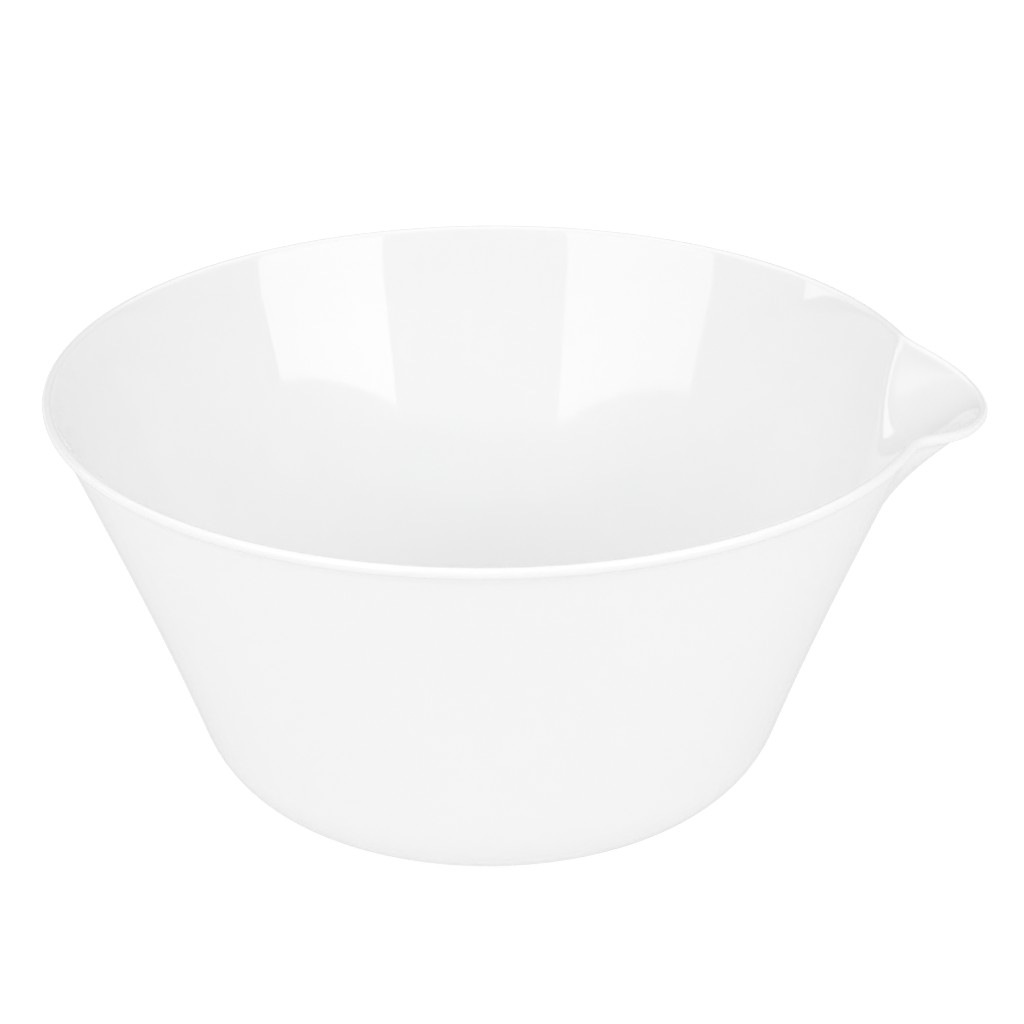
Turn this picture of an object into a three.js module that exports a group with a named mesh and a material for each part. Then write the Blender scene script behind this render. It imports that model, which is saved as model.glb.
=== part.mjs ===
// Mixing bowl with a pouring spout, moulded in one piece: flat base, rounded corner, leaning wall,
// round bead along the rim, and a scooped lip at +X that leans out and droops.
// Millimetres, +Z up. The origin is on the bowl's axis, in the plane that the base rests on.

import * as THREE from "three";

// Driving dimensions
const rimRadius = 135; // to the outside of the bead
const bowlHeight = 131; // from the resting plane to the top of the bead
const wallThickness = 2;
const beadRadius = 1.7; // the bead is round and centred on the wall's outer skin
const wallLean = 0.443; // run of the wall for each millimetre of height, at the rim
const wallEase = 2.14e-6; // the wall stands steeper towards the base, with the cube of the depth
const cornerHeight = 23.7; // where the wall turns into the rounded corner

// The spout's lip is an arc in plan at every depth, and sinks back into the wall as it goes down
const spoutReach = 17.2; // tip of the lip beyond the round rim
const spoutLipRadius = 38.4;
const spoutFillet = 16.2; // width over which the scoop and the round wall blend
const spoutDepth = 56.4; // where the scoop lies a whole fillet behind the wall
const spoutDroop = 5.5; // how far the tip lies below the round rim

// Fineness
const sectors = 88; // steps round the bowl
const crowding = 0.55; // the sectors draw together at the spout by this share
const cornerSteps = 5;
const lowerWallSteps = 4;
const upperWallSteps = 8;
const beadSteps = 8;
const beadCrease = 1.3; // the wall starts this many bead radii below the bead's centre

const cornerDepth = bowlHeight - cornerHeight;
const wallTopRadius = rimRadius - beadRadius + wallLean * beadRadius;

// Radius of the outer skin of the round wall, at a depth below the rim
function wallRadius(depth) {
  return wallTopRadius - wallLean * depth + wallEase * depth ** 3;
}

// The larger of two values, with the step between them rounded over a width
function softMax(a, b, width) {
  const nearness = Math.max(width - Math.abs(a - b), 0) / width;
  return Math.max(a, b) + (nearness ** 3 * width) / 6;
}

// Radius of the outer skin in one direction: the round wall, or the scoop where that lies further out
function skinRadius(azimuth, depth) {
  const round = wallRadius(depth);
  const sink = (spoutReach + spoutFillet) * Math.min(depth / spoutDepth, 1);
  const lipCentre = round + spoutReach - sink - spoutLipRadius;
  const halfChordSquared = spoutLipRadius ** 2 - (lipCentre * Math.sin(azimuth)) ** 2;
  if (Math.cos(azimuth) < 0 || halfChordSquared < 0) return round;
  const scoop = lipCentre * Math.cos(azimuth) + Math.sqrt(halfChordSquared);
  return softMax(round, scoop, spoutFillet);
}

// The skin droops as far as it is pushed out, so the whole lip tips down towards its end
function skinPoint(azimuth, depth) {
  const radius = skinRadius(azimuth, depth);
  const droop = (spoutDroop * (radius - wallRadius(depth))) / spoutReach;
  return new THREE.Vector3(
    radius * Math.cos(azimuth),
    radius * Math.sin(azimuth),
    bowlHeight - depth - droop,
  );
}

// A point of the skin with the two directions that lie across the wall there: inward, square to
// the skin, and down along the skin
function skinFrame(azimuth, depth) {
  const step = 0.01;
  const point = skinPoint(azimuth, depth);
  const along = skinPoint(azimuth + step, depth).sub(skinPoint(azimuth - step, depth));
  const down = skinPoint(azimuth, depth + step).sub(skinPoint(azimuth, depth - step));
  const inward = along.clone().cross(down).normalize();
  return { point, inward, down: inward.clone().cross(along).normalize() };
}

// A station is one corner of the half section, given as a function of the azimuth
function wallStation(depth, inset) {
  return (azimuth) => {
    const { point, inward } = skinFrame(azimuth, depth);
    return point.addScaledVector(inward, inset);
  };
}

function beadStation(turn) {
  return (azimuth) => {
    const { point, inward, down } = skinFrame(azimuth, beadRadius);
    return point
      .addScaledVector(inward, -beadRadius * Math.cos(turn))
      .addScaledVector(down, beadRadius * Math.sin(turn));
  };
}

function roundStation(radius, height) {
  return (azimuth) =>
    new THREE.Vector3(radius * Math.cos(azimuth), radius * Math.sin(azimuth), height);
}

// The rounded corner is an arc that meets the wall and the flat base without a break
const cornerLean = Math.atan(wallLean - 3 * wallEase * cornerDepth ** 2);
const cornerRadius = cornerHeight / (1 - Math.sin(cornerLean));
const cornerCentre = wallRadius(cornerDepth) - cornerRadius * Math.cos(cornerLean);

function cornerStations(arcRadius) {
  const list = [];
  for (let k = 0; k <= cornerSteps; k++) {
    const turn = ((Math.PI / 2 - cornerLean) * k) / cornerSteps;
    const radius = cornerCentre + arcRadius * Math.sin(turn);
    list.push(roundStation(radius, cornerRadius - arcRadius * Math.cos(turn)));
  }
  return list;
}

function wallStations(inset) {
  const list = [];
  const creaseDepth = beadRadius * (1 + beadCrease);
  for (let k = 1; k < lowerWallSteps; k++) {
    list.push(wallStation(cornerDepth + ((spoutDepth - cornerDepth) * k) / lowerWallSteps, inset));
  }
  for (let k = 0; k <= upperWallSteps; k++) {
    list.push(wallStation(spoutDepth + ((creaseDepth - spoutDepth) * k) / upperWallSteps, inset));
  }
  return list;
}

function beadStations() {
  const list = [];
  const lowestTurn = 0.4 * Math.PI;
  for (let k = 0; k <= beadSteps; k++) {
    list.push(beadStation(lowestTurn - ((lowestTurn + Math.PI) * k) / beadSteps));
  }
  return list;
}

// Up the outside from the middle of the base, over the bead, and down the inside to the middle
const stations = [
  roundStation(0, 0),
  ...cornerStations(cornerRadius),
  ...wallStations(0),
  ...beadStations(),
  ...wallStations(wallThickness).reverse(),
  ...cornerStations(cornerRadius - wallThickness).reverse(),
  roundStation(0, wallThickness),
];

// The lathe joins the stations round the axis, and its points are then set out in space.
// The sectors crowd towards the spout, which has the tightest curves.
function bowlGeometry() {
  const section = stations.map((station) => {
    const corner = station(Math.PI);
    return new THREE.Vector2(Math.abs(corner.x), corner.z);
  });
  const geometry = new THREE.LatheGeometry(section, sectors);
  const position = geometry.getAttribute("position");
  for (let sector = 0; sector <= sectors; sector++) {
    const even = (2 * Math.PI * (sector % sectors)) / sectors;
    const azimuth = even - crowding * Math.sin(even);
    stations.forEach((station, row) => {
      const corner = station(azimuth);
      position.setXYZ(sector * stations.length + row, corner.x, corner.y, corner.z);
    });
  }
  geometry.computeVertexNormals();
  return geometry;
}

const melamine = new THREE.MeshStandardMaterial({
  color: 0xf4f4f3,
  roughness: 0.12,
  metalness: 0,
});

const bowl = new THREE.Mesh(bowlGeometry(), melamine);
bowl.name = "bowl";

const group = new THREE.Group();
group.add(bowl);

export default group;
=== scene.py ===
import math
import bmesh
import bpy
from mathutils import Matrix, Vector


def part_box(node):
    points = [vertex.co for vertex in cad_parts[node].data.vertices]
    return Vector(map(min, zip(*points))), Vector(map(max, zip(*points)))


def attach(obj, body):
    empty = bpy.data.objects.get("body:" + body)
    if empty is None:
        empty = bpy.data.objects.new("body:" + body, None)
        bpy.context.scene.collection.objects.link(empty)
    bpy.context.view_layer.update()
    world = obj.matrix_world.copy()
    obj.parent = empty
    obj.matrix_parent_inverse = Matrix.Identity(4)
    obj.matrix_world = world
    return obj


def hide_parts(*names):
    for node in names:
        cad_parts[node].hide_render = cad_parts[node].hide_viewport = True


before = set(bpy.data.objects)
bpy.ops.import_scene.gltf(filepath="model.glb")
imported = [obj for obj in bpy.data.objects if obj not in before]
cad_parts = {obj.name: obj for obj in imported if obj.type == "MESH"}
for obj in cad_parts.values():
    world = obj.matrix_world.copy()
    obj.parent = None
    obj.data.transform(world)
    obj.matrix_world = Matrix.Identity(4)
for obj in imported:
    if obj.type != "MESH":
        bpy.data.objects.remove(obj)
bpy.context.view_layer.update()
print("frame loaded:", ", ".join(sorted(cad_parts)))


def linearColour(hexText):  # sRGB hex to the linear value that Blender's sockets take
    channels = [int(hexText[k:k + 2], 16) / 255 for k in (1, 3, 5)]
    linear = [c / 12.92 if c <= 0.04045 else ((c + 0.055) / 1.055) ** 2.4 for c in channels]
    return (*linear, 1.0)


def addNode(tree, kind, settings=None, inputs=None, links=None):
    node = tree.nodes.new(kind)
    for name, value in (settings or {}).items():
        setattr(node, name, value)
    for name, value in (inputs or {}).items():
        node.inputs[name].default_value = value
    for name, source in (links or {}).items():
        tree.links.new(source, node.inputs[name])
    return node


def newMaterial(name):
    material = bpy.data.materials.new(name)
    material.use_nodes = True
    tree = material.node_tree
    tree.nodes.clear()
    return material, tree


def linkObject(name, data):
    made = bpy.data.objects.new(name, data)
    bpy.context.scene.collection.objects.link(made)
    return made


# Camera: a long lens, a little to one side of the spout's plane, looking down into the bowl
cameraSettings = {
    "elevation": 24.116,  # degrees above the horizon
    "swing": 1.906,  # degrees round the bowl, from square on to the spout's plane
    "distance": 1.6505,  # metres from the point that the lens is aimed at
    "aimHeight": 0.0885,  # of that point, on the bowl's axis
    "pan": 0.2415,  # degrees to the right of that point
    "roll": -0.428,
    "lens": 189.43,
    "sensor": 36,
    "clip": (0.05, 50),
}


def makeCamera():
    up = math.radians(cameraSettings["elevation"])
    swing = math.radians(cameraSettings["swing"])
    pan = math.radians(cameraSettings["pan"])
    roll = math.radians(cameraSettings["roll"])
    ahead = Vector((-math.sin(swing) * math.cos(up), math.cos(swing) * math.cos(up), -math.sin(up)))
    right = Vector((math.cos(swing), math.sin(swing), 0))
    place = Vector((0, 0, cameraSettings["aimHeight"])) - ahead * cameraSettings["distance"]
    above = right.cross(ahead)
    aim = ahead * math.cos(pan) + right * math.sin(pan)
    side = right * math.cos(pan) - ahead * math.sin(pan)
    tiltedSide = side * math.cos(roll) + above * math.sin(roll)
    tiltedUp = above * math.cos(roll) - side * math.sin(roll)
    data = bpy.data.cameras.new("camera")
    data.lens = cameraSettings["lens"]
    data.sensor_width = cameraSettings["sensor"]
    data.clip_start, data.clip_end = cameraSettings["clip"]
    camera = linkObject("camera", data)
    turned = Matrix((tiltedSide, tiltedUp, -aim)).transposed()
    camera.matrix_world = Matrix.Translation(place) @ turned.to_4x4()
    bpy.context.scene.camera = camera


makeCamera()
print("camera placed")

# Bowl: one moulding, on the CAD node's own dimensions, with a finer surface
bowlShape = {
    "wall": 0.0020,
    "beadRadius": 0.0017,  # round bead, centred on the wall's outer skin
    "beadStart": 0.42 * math.pi,  # the bead's surface starts this far round, below its outermost line
    "lean": 0.443,  # run of the wall for each metre of height, at the rim
    "ease": 2.14,  # the wall stands steeper towards the base, with the cube of the depth
    "cornerHeight": 0.0237,  # where the wall turns into the rounded corner
    "reach": 0.0172,  # tip of the lip beyond the round rim
    "lipRadius": 0.0384,  # of the lip's arc in plan, at the rim
    "scoopRadius": 0.0470,  # the same below the rim, at the scoop's sides
    "fillet": 0.0162,  # width of the blend from scoop to round wall, at the rim and down the middle
    "fold": 0.0024,  # the same at the scoop's sides, where the skin folds sharply
    "foldDepth": 0.0035,  # depth below the rim over which the fold takes over
    "foldAzimuth": 0.17,  # and how far to the side of the middle it starts, in radians
    "foldSharpness": 4,  # power that makes this start sudden
    "slopeTurn": 0.004,  # half the spans that the skin's slopes are measured over, round it in radians
    "slopeDrop": 0.0002,  # and down it
    "scoopDepth": 0.0564,  # where the scoop lies a whole fillet behind the wall
    "droop": 0.0055,  # how far the tip lies below the round rim
    "creaseDepth": 2.0,  # the wall starts this many bead radii below the bead's centre
    "blendDepth": 0.009,  # inside, the bead runs out into the wall over this depth
    "sectors": 560,
    "crowding": 0.60,  # the sectors draw together at the spout by this share
    "cornerSteps": 15,
    "lowerSteps": 10,
    "upperSteps": 36,
    "runOutSteps": 8,
    "beadSteps": 20,
    "floorRings": 6,
    "grooveRadius": 0.049,  # ring that the mould leaves under the base
    "grooveWidth": 0.0012,
    "grooveDepth": 0.0004,
    "grooveFlat": 0.6,  # share of its width that is at full depth
    "gateRadius": 0.0030,  # shallow dimple over the gate mark, in the middle of the base
    "gateDepth": 0.0004,
    "gateRings": (0.5, 1.1),  # the dimple's inner ring and its outer edge, as shares of its radius
}
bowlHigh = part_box("bowl")[1]
rimRadius = bowlHigh.y
bowlHeight = bowlHigh.z
wallTopRadius = rimRadius - bowlShape["beadRadius"] * (1 - bowlShape["lean"])
cornerDepth = bowlHeight - bowlShape["cornerHeight"]


def wallRadius(depth):
    return wallTopRadius - bowlShape["lean"] * depth + bowlShape["ease"] * depth ** 3


def softMax(a, b, width):  # the larger of two, with the step between them rounded
    nearness = max(width - abs(a - b), 0) / width
    return max(a, b) + nearness ** 3 * width / 6


def scoopShare(azimuth, depth):  # 1 along the rim and down the middle, 0 where the sides fold sharply
    nearRim = math.exp(-depth / bowlShape["foldDepth"])
    nearMiddle = math.exp(-(azimuth / bowlShape["foldAzimuth"]) ** bowlShape["foldSharpness"])
    return max(nearRim, nearMiddle)


def skinRadius(azimuth, depth):  # the round wall, or the scoop where that lies further out
    azimuth = math.remainder(azimuth, 2 * math.pi)
    share = scoopShare(azimuth, depth)
    width = bowlShape["fold"] + (bowlShape["fillet"] - bowlShape["fold"]) * share
    lipRadius = bowlShape["scoopRadius"] + (bowlShape["lipRadius"] - bowlShape["scoopRadius"]) * share
    plain = wallRadius(depth)
    sink = (bowlShape["reach"] + bowlShape["fillet"]) * min(depth / bowlShape["scoopDepth"], 1)
    lipCentre = plain + bowlShape["reach"] - sink - lipRadius
    halfChordSquared = lipRadius ** 2 - (lipCentre * math.sin(azimuth)) ** 2
    if math.cos(azimuth) < 0 or halfChordSquared < 0:
        return plain
    scoop = lipCentre * math.cos(azimuth) + math.sqrt(halfChordSquared)
    return softMax(plain, scoop, width)


def skinPoint(azimuth, depth):  # the lip tips down as far as it is pushed out
    radius = skinRadius(azimuth, depth)
    droop = bowlShape["droop"] * (radius - wallRadius(depth)) / bowlShape["reach"]
    return Vector((radius * math.cos(azimuth), radius * math.sin(azimuth), bowlHeight - depth - droop))


def skinFrame(azimuth, depth):
    turn, drop = bowlShape["slopeTurn"], bowlShape["slopeDrop"]
    along = skinPoint(azimuth + turn, depth) - skinPoint(azimuth - turn, depth)
    down = skinPoint(azimuth, depth + drop) - skinPoint(azimuth, depth - drop)
    inward = along.cross(down).normalized()
    return skinPoint(azimuth, depth), inward, inward.cross(along).normalized()


def wallStation(depth, inset):
    def place(azimuth):
        point, inward, down = skinFrame(azimuth, depth)
        return point + inward * inset
    return place


def beadStation(turn):
    def place(azimuth):
        point, inward, down = skinFrame(azimuth, bowlShape["beadRadius"])
        return point + (down * math.sin(turn) - inward * math.cos(turn)) * bowlShape["beadRadius"]
    return place


def roundStation(radius, height):
    return lambda azimuth: Vector((radius * math.cos(azimuth), radius * math.sin(azimuth), height))


cornerLean = math.atan(bowlShape["lean"] - 3 * bowlShape["ease"] * cornerDepth ** 2)
cornerRadius = bowlShape["cornerHeight"] / (1 - math.sin(cornerLean))
cornerCentre = wallRadius(cornerDepth) - cornerRadius * math.cos(cornerLean)


def cornerStations(arcRadius):
    steps = bowlShape["cornerSteps"]
    turns = [(math.pi / 2 - cornerLean) * k / steps for k in range(steps + 1)]
    return [
        roundStation(cornerCentre + arcRadius * math.sin(t), cornerRadius - arcRadius * math.cos(t))
        for t in turns
    ]


def wallStations(inset, start):
    lower, upper = bowlShape["lowerSteps"], bowlShape["upperSteps"]
    split = bowlShape["scoopDepth"]
    depths = [cornerDepth + (split - cornerDepth) * k / lower for k in range(1, lower)]
    depths += [split + (start - split) * k / upper for k in range(upper + 1)]
    return [wallStation(depth, inset) for depth in depths]


def runOutStations():  # inside, from the bead's waist down to the full thickness of the wall
    waist, blend = bowlShape["beadRadius"], bowlShape["blendDepth"]
    steps = bowlShape["runOutSteps"]
    shares = [k / steps for k in range(1, steps + 1)]
    extra = bowlShape["wall"] - waist
    return [wallStation(waist + blend * t, waist + extra * t * (2 - t)) for t in shares]


def undersideStations():  # gate dimple, flat base and the mould's ring, out to the corner
    gate, gateDepth = bowlShape["gateRadius"], bowlShape["gateDepth"]
    innerShare, outerShare = bowlShape["gateRings"]
    ring, half, deep = bowlShape["grooveRadius"], bowlShape["grooveWidth"] / 2, bowlShape["grooveDepth"]
    flat = half * bowlShape["grooveFlat"]
    steps = bowlShape["floorRings"]
    places = [(gate * innerShare, gateDepth), (gate, gateDepth), (gate * outerShare, 0)]
    places += [(gate + (ring - half - gate) * k / steps, 0) for k in range(1, steps)]
    places += [(ring - half, 0), (ring - flat, deep), (ring + flat, deep), (ring + half, 0)]
    return [roundStation(radius, height) for radius, height in places]


def floorStations():
    steps = bowlShape["floorRings"]
    return [roundStation(cornerCentre * k / steps, bowlShape["wall"]) for k in range(steps - 1, 0, -1)]


def beadStations():
    lowest = bowlShape["beadStart"]
    steps = bowlShape["beadSteps"]
    return [beadStation(lowest - (lowest + math.pi) * k / steps) for k in range(steps + 1)]


def makeBowl():
    bead, wall = bowlShape["beadRadius"], bowlShape["wall"]
    stations = undersideStations() + cornerStations(cornerRadius)
    stations += wallStations(0, bead * (1 + bowlShape["creaseDepth"])) + beadStations()
    stations += runOutStations() + wallStations(wall, bead + bowlShape["blendDepth"])[-2::-1]
    stations += cornerStations(cornerRadius - wall)[::-1] + floorStations()
    mesh = bmesh.new()
    rings = []
    for station in stations:
        ring = []
        for sector in range(bowlShape["sectors"]):
            even = 2 * math.pi * sector / bowlShape["sectors"]
            ring.append(mesh.verts.new(station(even - bowlShape["crowding"] * math.sin(even))))
        rings.append(ring)
    for low, high in zip(rings, rings[1:]):
        for k in range(len(low)):
            after = (k + 1) % len(low)
            mesh.faces.new((low[k], low[after], high[after], high[k]))
    for ring, height in ((rings[0], bowlShape["gateDepth"]), (rings[-1], wall)):
        middle = mesh.verts.new((0, 0, height))
        for k in range(len(ring)):
            mesh.faces.new((ring[k], middle, ring[(k + 1) % len(ring)]))
    bmesh.ops.recalc_face_normals(mesh, faces=mesh.faces)
    data = bpy.data.meshes.new("bowl_shell")
    mesh.to_mesh(data)
    mesh.free()
    for face in data.polygons:
        face.use_smooth = True
    return linkObject("bowl_shell", data)


# Melamine resin, compression moulded in a polished steel tool: a hard white gloss, with a faint long
# ripple where the wall cooled and a very slight haze that breaks the edges of what it reflects
melamineSettings = {
    "body": "#F2F2F1",
    "cooler": "#EFF0F0",
    "ior": 1.55,
    "roughness": (0.02, 0.045),
    "mottleSize": 0.060,  # metres between cloudy patches of the filler
    "mottleDetail": 3.0,
    "hazeSize": 0.004,  # metres between patches of polish
    "hazeDetail": 4.0,
    "rippleSize": 0.035,  # metres between the swells of the moulded skin
    "rippleDetail": 1.0,
    "rippleHeight": 0.000008,
    "grainSize": 0.0006,  # polishing grain, drawn about three times as coarse as it is
    "grainDetail": 2.0,
    "grainHeight": 0.00000005,
}


def makeMelamine():
    material, tree = newMaterial("melamine_moulded_gloss")
    place = addNode(tree, "ShaderNodeTexCoord").outputs["Object"]
    clouds = {}
    for name in ("mottle", "haze", "ripple", "grain"):
        values = {"Scale": 1 / melamineSettings[name + "Size"], "Detail": melamineSettings[name + "Detail"]}
        noise = addNode(tree, "ShaderNodeTexNoise", {}, values, {"Vector": place})
        clouds[name] = noise.outputs["Fac"]
    body = linearColour(melamineSettings["body"])
    cooler = linearColour(melamineSettings["cooler"])
    colour = addNode(
        tree, "ShaderNodeMix", {"data_type": "RGBA"}, {6: body, 7: cooler}, {"Factor": clouds["mottle"]}
    )
    glossy, dull = melamineSettings["roughness"]
    roughness = addNode(
        tree, "ShaderNodeMapRange", {}, {"To Min": glossy, "To Max": dull}, {"Value": clouds["haze"]}
    )
    swell = addNode(
        tree, "ShaderNodeBump", {}, {"Strength": 1.0, "Distance": melamineSettings["rippleHeight"]},
        {"Height": clouds["ripple"]},
    )
    surface = addNode(
        tree, "ShaderNodeBump", {}, {"Strength": 1.0, "Distance": melamineSettings["grainHeight"]},
        {"Height": clouds["grain"], "Normal": swell.outputs["Normal"]},
    )
    shader = addNode(
        tree, "ShaderNodeBsdfPrincipled", {}, {"IOR": melamineSettings["ior"], "Metallic": 0.0},
        {
            "Base Color": colour.outputs[2],
            "Roughness": roughness.outputs["Result"],
            "Normal": surface.outputs["Normal"],
        },
    )
    addNode(tree, "ShaderNodeOutputMaterial", {}, {}, {"Surface": shader.outputs["BSDF"]})
    return material


bowl = makeBowl()
bowl.data.materials.append(makeMelamine())
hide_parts("bowl")
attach(bowl, "root")
print("bowl made:", len(bowl.data.polygons), "faces")

# Studio: a lit white table, two tall soft boxes beside the camera, a low one behind to the left, and
# pale walls and screens under a silk
studioSettings = {
    "floor": "#969696",
    "floorGlow": 0.74,  # light that comes up through the white acrylic table top
    "floorRoughness": 0.9,
    "floorGloss": 0.1,
    "floorSize": 12.0,
    "floorDrop": 0.0002,  # keeps the table clear of the base that rests on it
    "front": -87.0,  # heading of the camera's side of the room, in degrees
    "ground": 0.78,  # what the gloss sees below the table's edge
    "screenBack": 0.30,  # brightness of the screens behind the bowl, beside it and on the camera's side
    "screenSides": 0.84,
    "screenCamera": 1.18,
    "backShape": (-0.6, 0.1),  # where the screens brighten from the back to the sides
    "cameraShape": (0.2, 0.9),  # and from the sides to the camera's side
    "layers": (
        # each lies above the one before it: its edge is a sine of elevation, and climbs by the tilt
        # towards the camera's side
        {"level": 0.49, "edge": (-0.02, 0.02), "tilt": 0.0},  # the room's walls, low down
        {"level": 0.92, "edge": (0.08, 0.10), "tilt": 0.144},  # the pale ledge under the screens
        {"edge": (0.239, 0.247), "tilt": 0.144},  # the screens, as bright as the numbers above say
        {"level": 1.08, "edge": (0.52, 0.60), "tilt": -0.08},  # the silk overhead
    ),
    "bounces": {"max_bounces": 24, "diffuse_bounces": 12, "glossy_bounces": 20},
    "boxes": (
        # each stands square to the heading of its foot, with its two edges beside that, in degrees
        {"heading": -58.6, "edges": (0.0, 37.5), "bottom": 0.72, "top": 1.60, "away": 1.5, "glow": 1.40},
        {"heading": -120.0, "edges": (-38.0, 6.0), "bottom": 0.71, "top": 1.60, "away": 1.5, "glow": 1.10},
        {"heading": 158.0, "edges": (-13.0, 13.0), "bottom": 0.55, "top": 0.80, "away": 1.5, "glow": 1.5},
    ),
}


def makeFloor():
    size = studioSettings["floorSize"] / 2
    data = bpy.data.meshes.new("studio_floor")
    corners = [(-size, -size, 0), (size, -size, 0), (size, size, 0), (-size, size, 0)]
    data.from_pydata(corners, [], [(0, 1, 2, 3)])
    floor = linkObject("studio_floor", data)
    floor.location.z = -studioSettings["floorDrop"]
    # Opal acrylic, cast and lit from below: it burns out to white round the bowl, with no shadow
    material, tree = newMaterial("table_acrylic_lit")
    shader = addNode(
        tree, "ShaderNodeBsdfPrincipled", {},
        {
            "Base Color": linearColour(studioSettings["floor"]),
            "Roughness": studioSettings["floorRoughness"],
            "Specular IOR Level": studioSettings["floorGloss"],
            "Emission Color": (1, 1, 1, 1),
            "Emission Strength": studioSettings["floorGlow"],
        },
    )
    addNode(tree, "ShaderNodeOutputMaterial", {}, {}, {"Surface": shader.outputs["BSDF"]})
    data.materials.append(material)
    floor.visible_glossy = False  # the gloss sees the ground's brightness, not the glowing table


def makeSky():  # the room round the table, as brightness by direction
    world = bpy.data.worlds.new("studio_room")
    world.use_nodes = True
    tree = world.node_tree
    tree.nodes.clear()
    heading = math.radians(studioSettings["front"] + cameraSettings["swing"])
    front = Vector((math.cos(heading), math.sin(heading), 0))
    toward = addNode(tree, "ShaderNodeTexCoord").outputs["Generated"]
    facing = addNode(tree, "ShaderNodeVectorMath", {"operation": "DOT_PRODUCT"}, {1: front}, {0: toward})
    backStart, backEnd = studioSettings["backShape"]
    sides = addNode(
        tree, "ShaderNodeMapRange", {"interpolation_type": "SMOOTHSTEP"},
        {
            "From Min": backStart,
            "From Max": backEnd,
            "To Min": studioSettings["screenBack"],
            "To Max": studioSettings["screenSides"],
        },
        {"Value": facing.outputs["Value"]},
    )
    cameraStart, cameraEnd = studioSettings["cameraShape"]
    share = addNode(
        tree, "ShaderNodeMapRange", {"interpolation_type": "SMOOTHSTEP"},
        {"From Min": cameraStart, "From Max": cameraEnd}, {"Value": facing.outputs["Value"]},
    )
    screens = addNode(
        tree, "ShaderNodeMix", {}, {3: studioSettings["screenCamera"]},
        {"Factor": share.outputs["Result"], 2: sides.outputs["Result"]},
    )
    level = studioSettings["ground"]
    for layer in studioSettings["layers"]:
        upright = Vector((0, 0, 1)) - front * layer["tilt"]
        height = addNode(
            tree, "ShaderNodeVectorMath", {"operation": "DOT_PRODUCT"}, {1: upright}, {0: toward}
        )
        edgeStart, edgeEnd = layer["edge"]
        share = addNode(
            tree, "ShaderNodeMapRange", {"interpolation_type": "SMOOTHSTEP"},
            {"From Min": edgeStart, "From Max": edgeEnd}, {"Value": height.outputs["Value"]},
        )
        values, links = {}, {"Factor": share.outputs["Result"]}
        for slot, source in ((2, level), (3, layer.get("level", screens.outputs[0]))):
            kept = values if isinstance(source, float) else links  # a number is set, a socket is linked
            kept[slot] = source
        level = addNode(tree, "ShaderNodeMix", {}, values, links).outputs[0]
    shader = addNode(tree, "ShaderNodeBackground", {}, {"Color": (1, 1, 1, 1)}, {"Strength": level})
    addNode(tree, "ShaderNodeOutputWorld", {}, {}, {"Surface": shader.outputs["Background"]})
    bpy.context.scene.world = world


def makeBox(index, box):
    heading = math.radians(box["heading"] + cameraSettings["swing"])
    out = Vector((math.cos(heading), math.sin(heading), 0))
    beside = Vector((-math.sin(heading), math.cos(heading), 0))
    near, far = (math.tan(math.radians(edge)) * box["away"] for edge in box["edges"])
    wide, tall = far - near, box["top"] - box["bottom"]
    light = bpy.data.lights.new(f"soft_box_{index}", "AREA")
    light.shape = "RECTANGLE"
    light.size, light.size_y = wide, tall
    light.energy = box["glow"] * math.pi * wide * tall  # gives the box's face the brightness of its glow
    made = linkObject(f"soft_box_{index}", light)
    middle = Vector((0, 0, (box["bottom"] + box["top"]) / 2))
    made.location = out * box["away"] + beside * (near + far) / 2 + middle
    made.rotation_euler = (math.pi / 2, 0, heading + math.pi / 2)
    made.visible_camera = False


makeFloor()
makeSky()
for index, box in enumerate(studioSettings["boxes"], 1):
    makeBox(index, box)
scene = bpy.context.scene
scene.view_settings.view_transform = "Standard"  # keeps the whites as bright as the table makes them
for name, count in studioSettings["bounces"].items():  # light goes round a white bowl many times
    setattr(scene.cycles, name, count)
print("studio lit")
